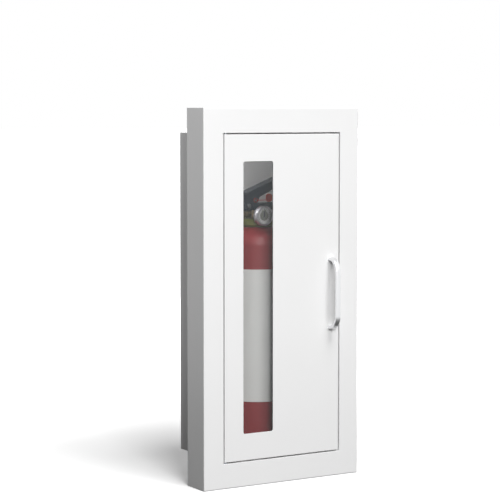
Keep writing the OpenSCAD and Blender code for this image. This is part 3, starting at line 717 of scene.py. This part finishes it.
tried_drops = np.linspace(20 * MM, 120 * MM, 20001)
miss = (np.hypot(knuckle_x, tried_drops) + KNUCKLE_R
        - np.hypot(DOME_TOP_R, DOME_H + tried_drops))
drop = tried_drops[np.argmin(np.abs(miss))]
crown_r = math.hypot(knuckle_x, drop) + KNUCKLE_R
crown_start = math.degrees(math.atan2(drop, knuckle_x))
crown_end = math.degrees(math.acos(DOME_TOP_R / crown_r))
shell_outline = np.concatenate([
    [[NEAR_AXIS, shell_low[2]]],
    arc((shell_r - FOOT_R, shell_low[2] + FOOT_R), FOOT_R, -90, 0, 10),
    arc((knuckle_x, side_top), KNUCKLE_R, 0, crown_start, 16),
    arc((0.0, side_top - drop), crown_r, crown_start, crown_end, 10)[1:],
    [[NEAR_AXIS, neck_z]]])
make_piece("cylinder", *spin_solid(shell_outline, AXIS_FOOT, "z", 128), "extinguisher_shell")

# %% [markdown]
# The label is a sheet of vinyl that goes most of the way round. It is thinner than a fingernail,
# so only its cut edge shows, and it is made as a thin closed band, spun through part of a turn.

# %% Label
label_low, label_high = (np.array(p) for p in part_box("label_band"))
LABEL_WRAP = 250.0
LABEL_THICK = 0.4 * MM
LABEL_EDGE = 0.12 * MM
LABEL_STEPS = 120
FRONT_ANGLE = -90.0
label_out = label_high[0] - axis_x
label_outline = np.array([
    [label_out - LABEL_THICK, label_low[2]], [label_out - LABEL_EDGE, label_low[2]],
    [label_out, label_low[2] + LABEL_EDGE], [label_out, label_high[2] - LABEL_EDGE],
    [label_out - LABEL_EDGE, label_high[2]], [label_out - LABEL_THICK, label_high[2]]])
label_points = spin_points(label_outline, AXIS_FOOT, "z", LABEL_STEPS,
                           FRONT_ANGLE - LABEL_WRAP / 2, LABEL_WRAP)
cut_edge = np.arange(len(label_outline)) * LABEL_STEPS
make_piece("label", label_points,
           [grid_faces(len(label_outline), LABEL_STEPS, wrap_rows=True, wrap_cols=False),
            [cut_edge[::-1].tolist()], [(cut_edge + LABEL_STEPS - 1).tolist()]],
           "label_band")

# %% [markdown]
# The collar is a moulded ring that snaps round the neck. Its lower edge is drawn in, so that it
# stands on a smaller foot and throws a thin shadow on the crown.

# %% Neck collar
collar_low, collar_high = (np.array(p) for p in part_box("neck_collar"))
NECK_R = 14.3 * MM
COLLAR_FOOT = 3 * MM
FOOT_EDGE = 0.5 * MM
COLLAR_UNDER = 1.2 * MM
COLLAR_TOP = 2.4 * MM
collar_r = collar_high[0] - axis_x
collar_outline = np.concatenate([
    arc((collar_r - COLLAR_FOOT - FOOT_EDGE, collar_low[2] + FOOT_EDGE), FOOT_EDGE, -90, 0, 3),
    arc((collar_r - COLLAR_UNDER, collar_low[2] + COLLAR_FOOT + COLLAR_UNDER), COLLAR_UNDER,
        -70, 0),
    arc((collar_r - COLLAR_TOP, collar_high[2] - COLLAR_TOP), COLLAR_TOP, 0, 90, 8),
    [[NECK_R, collar_high[2]], [NECK_R, collar_low[2]]]])
make_piece("collar", *spin_ring(collar_outline, AXIS_FOOT, "z", 96), "neck_collar")

# %% [markdown]
# The outlet port carries a cut thread that the hose screws onto. A cut thread of small pitch
# looks the same as a stack of rings, so its outline just zigzags between crest and root. The
# hexagon behind it is spun in six steps, and has its corners turned off, as on bar stock.

# %% Outlet port
port_low, port_high = (np.array(p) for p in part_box("outlet_port"))
PORT_R = 8.5 * MM
PORT_BORE = 4.25 * MM
NUT_R = 9.6 * MM
NUT_W = 9 * MM
NUT_CHAMFER = (1.2 * MM, 0.7 * MM)
THREAD_START = 0.8 * MM
THREAD_PITCH = 1.8 * MM
THREAD_DEPTH = 0.9 * MM
THREAD_COUNT = 9
PORT_SEAT = 1 * MM
root_r = PORT_R - THREAD_DEPTH
thread_steps = ((root_r, 0.1), (PORT_R, 0.4), (PORT_R, 0.6), (root_r, 0.9))
port_origin = [0.0, axis_y, (port_low[2] + port_high[2]) / 2]
nut_face = port_high[0] - NUT_W
thread_outline = np.array(
    [[PORT_BORE, port_low[0]], [root_r, port_low[0]]]
    + [[radius, port_low[0] + THREAD_START + (turn + share) * THREAD_PITCH]
       for turn in range(THREAD_COUNT) for radius, share in thread_steps]
    + [[root_r, nut_face + PORT_SEAT], [PORT_BORE, nut_face + PORT_SEAT]])
hexagon = [[NEAR_AXIS, nut_face], [NUT_R - NUT_CHAMFER[0], nut_face],
           [NUT_R, nut_face + NUT_CHAMFER[1]], [NUT_R, port_high[0] - NUT_CHAMFER[1]],
           [NUT_R - NUT_CHAMFER[0], port_high[0]], [NEAR_AXIS, port_high[0]]]
make_piece("port", *joined(spin_ring(thread_outline, port_origin, "x", 48),
                           spin_solid(hexagon, port_origin, "x", 6)), "outlet_port", sharp=50.0)

# %% [markdown]
# The gauge has a spun case with a groove round it and a bezel that is rolled over the lens. The
# places of its face, its dial and its lens are read from the frame, and the small forms of the
# rim have the usual sizes. Distances are along the gauge's axis, towards the eye.

# %% Gauge sizes
gauge_low, gauge_high = (np.array(p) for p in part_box("gauge_case"))
lens_low, lens_high = (np.array(p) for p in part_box("gauge_lens"))
dial_low, dial_high = (np.array(p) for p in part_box("gauge_dial"))
GAUGE_DEPTH = 12 * MM
CASE_CORNER = 2 * MM
CASE_GROOVE = np.array([[0.0, -4.6], [-0.5, -4.3], [-0.5, -3.9], [0.0, -3.6]]) * MM
BEZEL_ROLL = 1.8 * MM
BEZEL_LIP = np.array([[-0.4, -0.25], [-0.7, -0.35]]) * MM
LENS_ROOM = 0.3 * MM
LENS_SEAT = 0.1 * MM
DIAL_SEAT = 0.6 * MM
HEX_R = 7 * MM
HEX_CHAMFER = (0.6 * MM, 0.4 * MM)
HEX_OVERLAP = 0.2 * MM
gauge_r = (gauge_high[0] - gauge_low[0]) / 2
dial_r = (dial_high[0] - dial_low[0]) / 2
gauge_origin = [(gauge_low[0] + gauge_high[0]) / 2, 0.0, (gauge_low[2] + gauge_high[2]) / 2]
face_at, dial_at, stem_at = -gauge_low[1], -dial_low[1], -gauge_high[1]
back_at = face_at - GAUGE_DEPTH
print("gauge:", round(2 * gauge_r / MM, 1), "mm across, dial", round(2 * dial_r / MM, 1), "mm")

# %% [markdown]
# The outline goes from the middle of the back over the rim, down behind the lens and to the seat
# of the dial, so the case is hollow in front. A small hexagon behind it is what a spanner holds.

# %% Gauge case
case_outline = np.concatenate([
    [[NEAR_AXIS, back_at]],
    arc((gauge_r - CASE_CORNER, back_at + CASE_CORNER), CASE_CORNER, -90, 0, 6),
    CASE_GROOVE + [gauge_r, face_at],
    arc((gauge_r - BEZEL_ROLL, face_at - BEZEL_ROLL), BEZEL_ROLL, 0, 80, 7),
    BEZEL_LIP + [dial_r, face_at],
    [[dial_r + LENS_ROOM, -lens_low[1] - LENS_SEAT], [dial_r + LENS_ROOM, dial_at - DIAL_SEAT],
     [NEAR_AXIS, dial_at - DIAL_SEAT]]])
hex_outline = [[NEAR_AXIS, stem_at], [HEX_R - HEX_CHAMFER[0], stem_at],
               [HEX_R, stem_at + HEX_CHAMFER[1]], [HEX_R, back_at + HEX_OVERLAP],
               [NEAR_AXIS, back_at + HEX_OVERLAP]]
make_piece("gauge_shell", *joined(spin_solid(case_outline, gauge_origin, "-y", 96),
                                  spin_solid(hex_outline, gauge_origin, "-y", 6)),
           "gauge_case")

# %% [markdown]
# The dial is a thin disc that sits in the case behind the lens. It is spun like the case, and
# its printed face is where the frame has it.

# %% Dial
DIAL_THICK = 0.55 * MM
dial_outline = [[NEAR_AXIS, dial_at - DIAL_THICK], [dial_r, dial_at - DIAL_THICK],
                [dial_r, dial_at], [NEAR_AXIS, dial_at]]
make_piece("dial", *spin_solid(dial_outline, gauge_origin, "-y", 64), "gauge_dial")

# %% [markdown]
# The print could be a picture, but flat patches that stand a tenth of a millimetre off the disc
# stay sharp at any size. Each patch lies between two radii and two angles: a pale ring, plain
# ticks across it, and one arc for the charged range. Radii are shares of the dial's. The ring
# stops a hair short of a full turn, so that its two ends don't meet.

# %% Print on the dial
RING_SHARE = (0.58, 0.97)
RING_ANGLES = (0.0, 359.9)
ARC_SHARE = (0.62, 0.7)
ARC_ANGLES = (62.0, 118.0)
TICK_SHARE = (0.72, 0.9)
LONG_TICK = 0.94
TICK_ANGLES = np.linspace(-30.0, 210.0, 13)
TICK_HALF = 1.6
PRINT_LIFTS = {"ring": 0.05 * MM, "arc": 0.1 * MM, "tick": 0.12 * MM}


def on_dial(share, degrees, lift):
    """A place on the dial by its share of the dial's radius, its angle from the right and its
    height above the printed face: middle + radius (cos t, sin t), lifted towards -Y."""
    turn = np.radians(degrees)
    return np.stack(np.broadcast_arrays(
        gauge_origin[0] + dial_r * share * np.cos(turn), -(dial_at + lift),
        gauge_origin[2] + dial_r * share * np.sin(turn)), axis=-1)


def dial_mark(shares, start, end, lift, steps=2):
    """Points and faces of a thin raised patch of the dial between two radii and two angles."""
    degrees = np.linspace(start, end, steps)
    inner, outer = shares
    loops = [on_dial(share, degrees, height) for share, height in (
        (inner, lift), (outer, lift), (outer, 0.0), (inner, 0.0))]
    side = np.arange(4) * steps
    return (np.array(loops), [grid_faces(4, steps, wrap_rows=True, wrap_cols=False),
                              [side[::-1].tolist()], [(side + steps - 1).tolist()]])


ticks = [dial_mark((TICK_SHARE[0], TICK_SHARE[1] if k % 3 else LONG_TICK),
                   middle - TICK_HALF, middle + TICK_HALF, PRINT_LIFTS["tick"])
         for k, middle in enumerate(TICK_ANGLES)]
add_piece("gauge_ticks", *joined(*ticks), "gauge_dial", "black_enamel")
add_piece("gauge_ring", *dial_mark(RING_SHARE, *RING_ANGLES, PRINT_LIFTS["ring"], 97),
          "gauge_dial", "label_vinyl")
add_piece("gauge_arc", *dial_mark(ARC_SHARE, *ARC_ANGLES, PRINT_LIFTS["arc"], 12),
          "gauge_dial", "collar_plastic")

# %% [markdown]
# The needle is stamped from thin sheet and held by a small turned hub. It is a flat outline of
# five corners, given like the print by shares of the radius and angles, between two heights. It
# stands in the arc, as on a charged extinguisher.

# %% Needle
NEEDLE = np.array([[0.28, 235.0], [0.1, 325.0], [0.8, 84.0], [0.8, 87.0], [0.1, 145.0]])
NEEDLE_LIFTS = (0.5 * MM, 0.8 * MM)
HUB = np.array([[0.1, 0.0], [1.5, 0.0], [1.5, 0.9], [1.1, 1.2], [0.1, 1.25]]) * MM
needle_loops = [on_dial(NEEDLE[:, 0], NEEDLE[:, 1], lift) for lift in NEEDLE_LIFTS]
needle = (np.array(needle_loops), [grid_faces(2, 5), [[0, 1, 2, 3, 4]], [[9, 8, 7, 6, 5]]])
hub = spin_solid(HUB + [0.0, dial_at], gauge_origin, "-y", 24)
add_piece("gauge_needle", *joined(needle, hub), "gauge_dial", "black_enamel")

# %% [markdown]
# Small moulded plates have rounded corners and rounded or raised borders. A stack of rounded
# rectangles, each with its own inset and depth and closed at both sides, gives such a plate.

# %% Moulded plates
PLATE_STEPS = 8
LEAST_CORNER = 0.2 * MM


def plaque(centre_x, centre_z, half_wide, half_high, corner, levels):
    """A plate in X and Z whose section is a list of (inset, depth): each level is a rounded
    rectangle, smaller by its inset, and the levels are joined in order."""
    rows = [rect_loop(half_wide - inset, half_high - inset, max(corner - inset, LEAST_CORNER),
                      depth, centre_x, centre_z, PLATE_STEPS) for inset, depth in levels]
    count = len(rows[0])
    faces = [grid_faces(len(rows), count), [list(range(count))[::-1]],
             [list(range((len(rows) - 1) * count, len(rows) * count))]]
    return np.array(rows), faces


print("a plate's level has", 4 * PLATE_STEPS, "points")

# %% [markdown]
# The tamper seal is a thin moulded loop through the pull pin, with a strap and a tag. The tag
# has a raised rim that stiffens it, and the strap is a narrow plate that overlaps the tag.

# %% Tamper seal
seal_low, seal_high = (np.array(p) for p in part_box("tamper_seal"))
PIN_X = -12 * MM
PIN_UP = 51 * MM
LOOP_R = 3.85 * MM
LOOP_WIRE = 0.45 * MM
TAG_HALF_W = 7 * MM
TAG_HALF_H = 8 * MM
TAG_CORNER = 5 * MM
STRAP_HALF_H = 0.55 * MM
STRAP_CORNER = 0.4 * MM
STRAP_OVERLAP = 1 * MM
front, back = seal_low[1], seal_high[1]
pin_z = neck_z + PIN_UP

loop_outline = arc((LOOP_R, 0.0), LOOP_WIRE, 0, 360, 13)[:-1]
seal_loop = spin_ring(loop_outline, [PIN_X, (front + back) / 2, pin_z], "-y", 48)
tag_levels = [(0.4 * MM, back), (0.0, back - 0.35 * MM), (0.0, front + 0.3 * MM),
              (0.3 * MM, front), (1.0 * MM, front), (1.4 * MM, front + 0.5 * MM)]
tag = plaque(seal_high[0] - TAG_HALF_W, seal_high[2] - TAG_HALF_H, TAG_HALF_W, TAG_HALF_H,
             TAG_CORNER, tag_levels)
strap_start = PIN_X + LOOP_R
strap_half = (seal_high[0] - 2 * TAG_HALF_W + STRAP_OVERLAP - strap_start) / 2
strap_levels = [(0.3 * MM, back), (0.0, back - 0.3 * MM), (0.0, front + 0.5 * MM),
                (0.3 * MM, front + 0.3 * MM)]
strap = plaque(strap_start + strap_half, pin_z, strap_half, STRAP_HALF_H, STRAP_CORNER,
               strap_levels)
make_piece("seal", *joined(seal_loop, tag, strap), "tamper_seal")

# %% [markdown]
# The cabinet stands on a wide flat sheet, as in a studio. It reaches so far that its edge is
# lost in the white behind it. It is only part of the stage and not of the cabinet.

# %% Floor sheet
FLOOR_HALF = 60.0
floor_z = cad_box[0][2]
floor_data = bpy.data.meshes.new("studio_floor")
floor_corners = [(x * FLOOR_HALF, y * FLOOR_HALF, floor_z)
                 for x, y in ((-1, -1), (1, -1), (1, 1), (-1, 1))]
floor_data.from_pydata(floor_corners, [], [(0, 1, 2, 3)])
floor = bpy.data.objects.new("studio_floor", floor_data)
scene.collection.objects.link(floor)
print("floor at z:", round(floor_z / MM, 1), "mm")

# %% [markdown]
# The floor reads as the same white as the studio behind it, and keeps only the soft shadow. It
# glows more with distance, so that it has no horizon. Its bounce is kept low, because a bright
# floor would wash out the shade low on the cabinet's left side, and its reflection starts dark
# near the cabinet, which gives the pull's lower bend its contrast. Both changes follow the
# distance from the cabinet's middle, in metres. A Light Path node tells what the eye sees from
# what reflects and what only bounces.

# %% Floor finish
FLOOR_TONE = "#F3F3F3"
FLOOR_BOUNCE = "#5A5A5A"
FLOOR_GLOW = 0.19
GLOW_FROM, GLOW_TO = 0.55, 1.2
SHEEN_FROM, SHEEN_TO = 0.6, 2.0
floor_finish = bpy.data.materials.new("studio_floor")
floor_finish.use_nodes = True
floor_tree = floor_finish.node_tree
floor_tree.nodes.clear()
floor_place = add_node(floor_tree, "ShaderNodeTexCoord").outputs["Object"]
away = add_node(floor_tree, "ShaderNodeVectorMath", {0: floor_place}, operation="LENGTH")
far_glow = add_node(floor_tree, "ShaderNodeMapRange",
                    {"Value": away.outputs["Value"], "From Min": GLOW_FROM,
                     "From Max": GLOW_TO, "To Min": FLOOR_GLOW, "To Max": 1.0})
pale = add_node(floor_tree, "ShaderNodeBsdfDiffuse", {"Color": linear(FLOOR_TONE)})
glow = add_node(floor_tree, "ShaderNodeEmission", {"Strength": far_glow.outputs["Result"]})
bright = add_node(floor_tree, "ShaderNodeAddShader", {0: pale.outputs[0], 1: glow.outputs[0]})
dull = add_node(floor_tree, "ShaderNodeBsdfDiffuse", {"Color": linear(FLOOR_BOUNCE)})
rays = add_node(floor_tree, "ShaderNodeLightPath").outputs
far_gloss = add_node(floor_tree, "ShaderNodeMapRange",
                     {"Value": away.outputs["Value"], "From Min": SHEEN_FROM,
                      "From Max": SHEEN_TO, "To Max": rays["Is Glossy Ray"]})
sheen = add_node(floor_tree, "ShaderNodeEmission", {"Strength": far_gloss.outputs["Result"]})
bounced = add_node(floor_tree, "ShaderNodeAddShader", {0: dull.outputs[0], 1: sheen.outputs[0]})
floor_mix = add_node(floor_tree, "ShaderNodeMixShader",
                     {0: rays["Is Camera Ray"], 1: bounced.outputs[0], 2: bright.outputs[0]})
add_node(floor_tree, "ShaderNodeOutputMaterial", {"Surface": floor_mix.outputs[0]})
floor_data.materials.append(floor_finish)
print("the floor's finish has", len(floor_tree.nodes), "nodes")

# %% [markdown]
# The key is a soft box in front, above and to the left, with a weaker fill to its right. Both
# stand high enough to leave the gap over the door in shade. A small box, high on the left, fades
# down the trim's side, and a large one behind lights the back and the right side. A very small
# one in the top of the bay stands for the light that bounces about in there, and is left out of
# reflections. The strengths were set so that the face, the trim's side and the tub's side have
# the tones that white powder coat shows in a studio.

# %% Soft boxes
# Each box has its place, the point it faces, its side in metres and its watts.
SOFT_BOXES = {
    "key_box": ((-1.1, -3.1, 1.5), (0.0, -0.1, 0.0), 1.0, 68.0),
    "fill_box": ((0.4, -3.2, 1.5), (0.0, -0.1, 0.0), 1.0, 27.0),
    "left_box": ((-0.9, 0.05, 1.3), (0.0, -0.1, 0.2), 0.6, 4.4),
    "rear_box": ((1.7, 2.3, 0.9), (0.0, -0.1, 0.0), 2.0, 26.0),
    "bay_bounce": ((-0.05, -0.105, 0.275), (-0.01, 0.0, 0.16), 0.03, 0.066),
}
for box_name, (box_at, facing, box_side, watts) in SOFT_BOXES.items():
    box_data = bpy.data.lights.new(box_name, "AREA")
    box_data.size = box_side
    box_data.energy = watts
    soft_box = bpy.data.objects.new(box_name, box_data)
    soft_box.location = box_at
    soft_box.rotation_euler = aimed(Vector(facing) - Vector(box_at))
    soft_box.visible_camera = False
    soft_box.visible_glossy = box_name != "bay_bounce"
    scene.collection.objects.link(soft_box)
print("soft boxes:", len(SOFT_BOXES))

# %% [markdown]
# A broad soft sun from above gives the floor its shadow. The studio behind is plain white to the
# eye and in reflections. It lights nothing by itself, so that all the shade on the cabinet comes
# from the lamps and can be set by them.

# %% Sun and backdrop
SUN_STRENGTH = 1.74
SUN_SPREAD = 24.0
SUN_TOWARD = (-0.02, 0.5, -1.0)
sun_data = bpy.data.lights.new("overhead_sun", "SUN")
sun_data.energy = SUN_STRENGTH
sun_data.angle = math.radians(SUN_SPREAD)
sun = bpy.data.objects.new("overhead_sun", sun_data)
sun.rotation_euler = aimed(SUN_TOWARD)
scene.collection.objects.link(sun)

world = bpy.data.worlds.new("studio_world")
scene.world = world
world.use_nodes = True
studio = world.node_tree
studio.nodes.clear()
backdrop = add_node(studio, "ShaderNodeBackground", {"Color": (1, 1, 1, 1), "Strength": 1.0})
unlit = add_node(studio, "ShaderNodeBackground", {"Color": (1, 1, 1, 1), "Strength": 0.0})
bounces = add_node(studio, "ShaderNodeLightPath").outputs["Is Diffuse Ray"]
surround = add_node(studio, "ShaderNodeMixShader",
                    {0: bounces, 1: backdrop.outputs[0], 2: unlit.outputs[0]})
add_node(studio, "ShaderNodeOutputWorld", {"Surface": surround.outputs[0]})
print("lamps in the scene:", len(bpy.data.lights))
